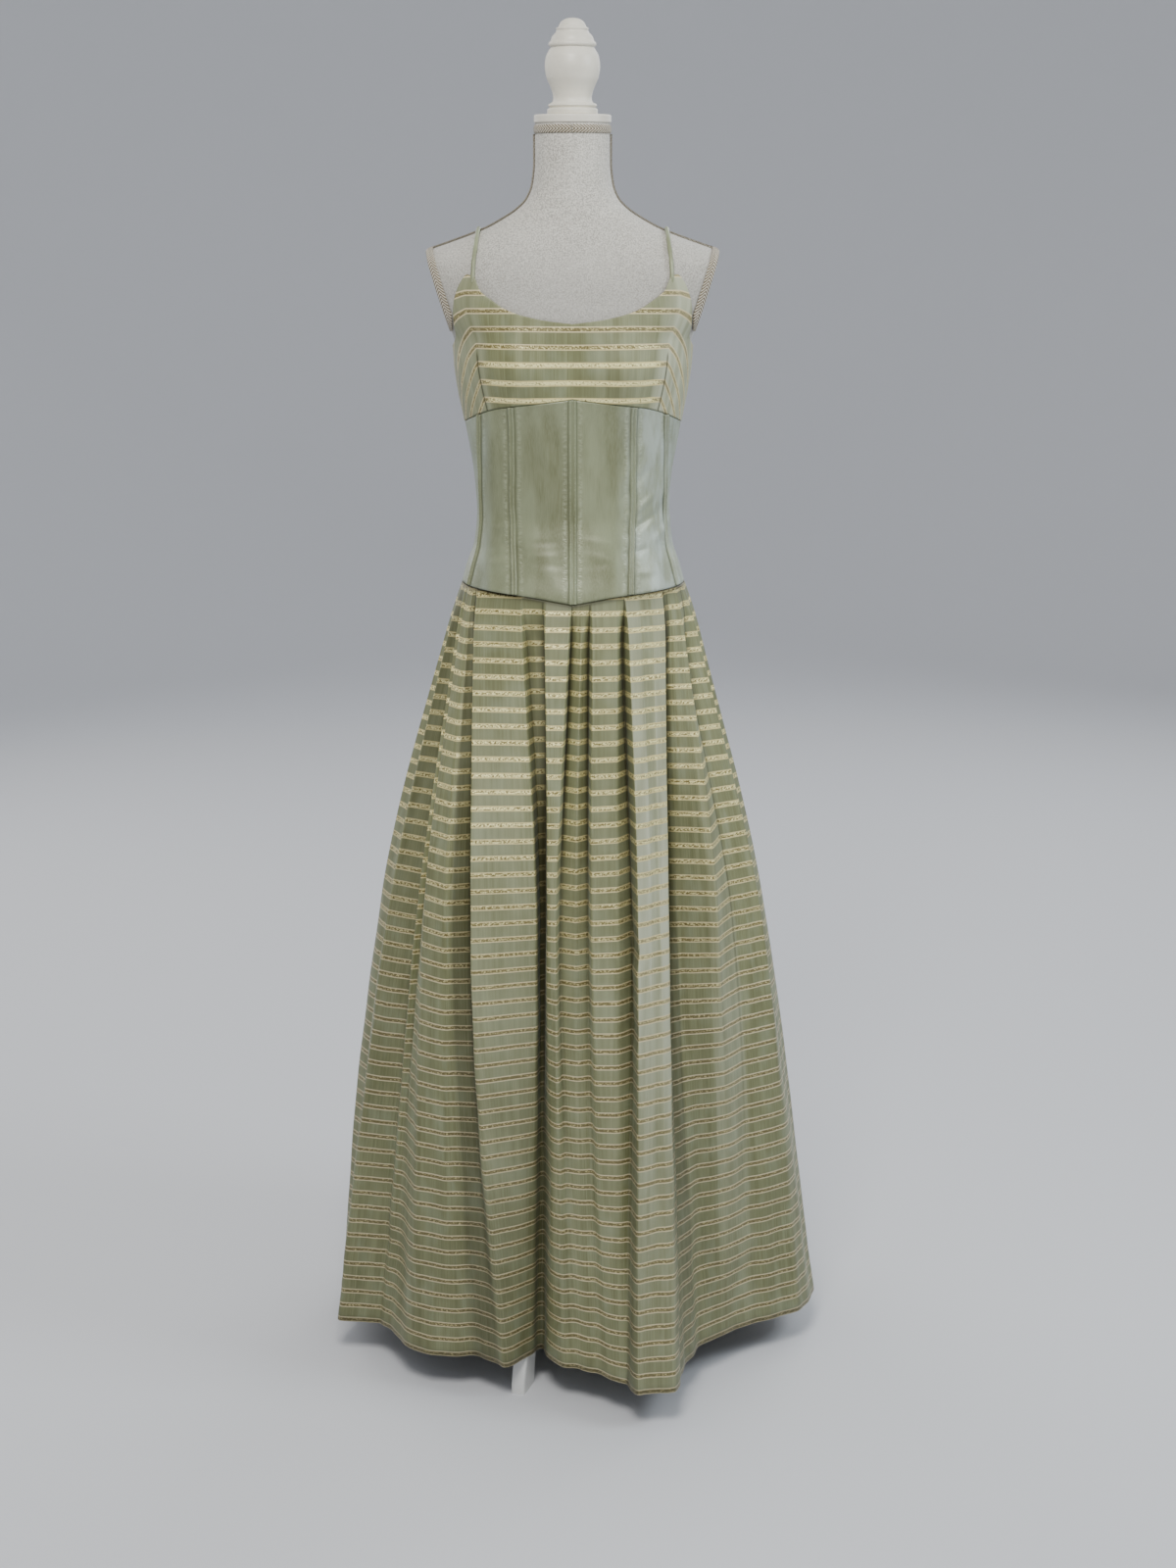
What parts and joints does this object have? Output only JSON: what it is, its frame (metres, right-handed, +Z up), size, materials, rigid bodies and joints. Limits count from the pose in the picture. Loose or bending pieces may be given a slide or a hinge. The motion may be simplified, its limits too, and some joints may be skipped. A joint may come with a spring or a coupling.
{
  "type": "corset dress on a dress form",
  "caption": "Striped floor-length dress with a plain boned corset waist, thin rolled straps and a full pleated skirt, on a limbless dress form with splayed legs.",
  "frame": {"origin": "on the floor, under the axis of the pole of the dress form", "axes": "+Z up the form, -Y out of the front of the dress, +X to the left of its wearer"},
  "size_m": [0.6526, 0.6445, 1.717],
  "materials": {
    "striped_cloth": "crisp sage taffeta with narrow woven gold stripes",
    "plain_cloth": "satin faced sage taffeta",
    "jersey": "off-white knitted jersey",
    "braid": "woven chevron braid",
    "painted_wood": "off-white satin paint",
    "leg_paint": "white satin paint",
    "zip_metal": "brushed"
  },
  "bodies": {
    "dress_on_form": {"bodice_front": "striped_cloth", "bodice_back_left": "striped_cloth", "bodice_back_right": "striped_cloth", "skirt_front": "striped_cloth", "skirt_back_left": "striped_cloth", "skirt_back_right": "striped_cloth", "corset_front_left": "plain_cloth", "corset_front_right": "plain_cloth", "corset_mid_left": "plain_cloth", "corset_mid_right": "plain_cloth", "corset_side_left": "plain_cloth", "corset_side_right": "plain_cloth", "corset_back_left": "plain_cloth", "corset_back_right": "plain_cloth", "bone_channel_centre": "plain_cloth", "bone_channel_mid_left": "plain_cloth", "bone_channel_mid_right": "plain_cloth", "bone_channel_outer_left": "plain_cloth", "bone_channel_outer_right": "plain_cloth", "bone_channel_rear_left": "plain_cloth", "bone_channel_rear_right": "plain_cloth", "strap_left": "plain_cloth", "strap_right": "plain_cloth", "form_torso": "jersey", "arm_braid_left": "braid", "arm_braid_right": "braid", "neck_braid": "braid", "neck_cap": "painted_wood", "finial": "painted_wood", "pole": "leg_paint", "collar": "leg_paint", "leg_front": "leg_paint", "leg_side": "leg_paint", "leg_rear": "leg_paint", "zip_coil": "zip_metal", "zip_slider": "zip_metal"},
    "zip_pull": {"zip_pull": "zip_metal"}
  },
  "joints": [
    {"name": "zip_pull_hinge", "type": "hinge", "parent": "dress_on_form", "child": "zip_pull", "pos_m": [0, 0.10608, 1.27947], "axis": [1, 0, 0], "range_deg": [0, 140]}
  ]
}
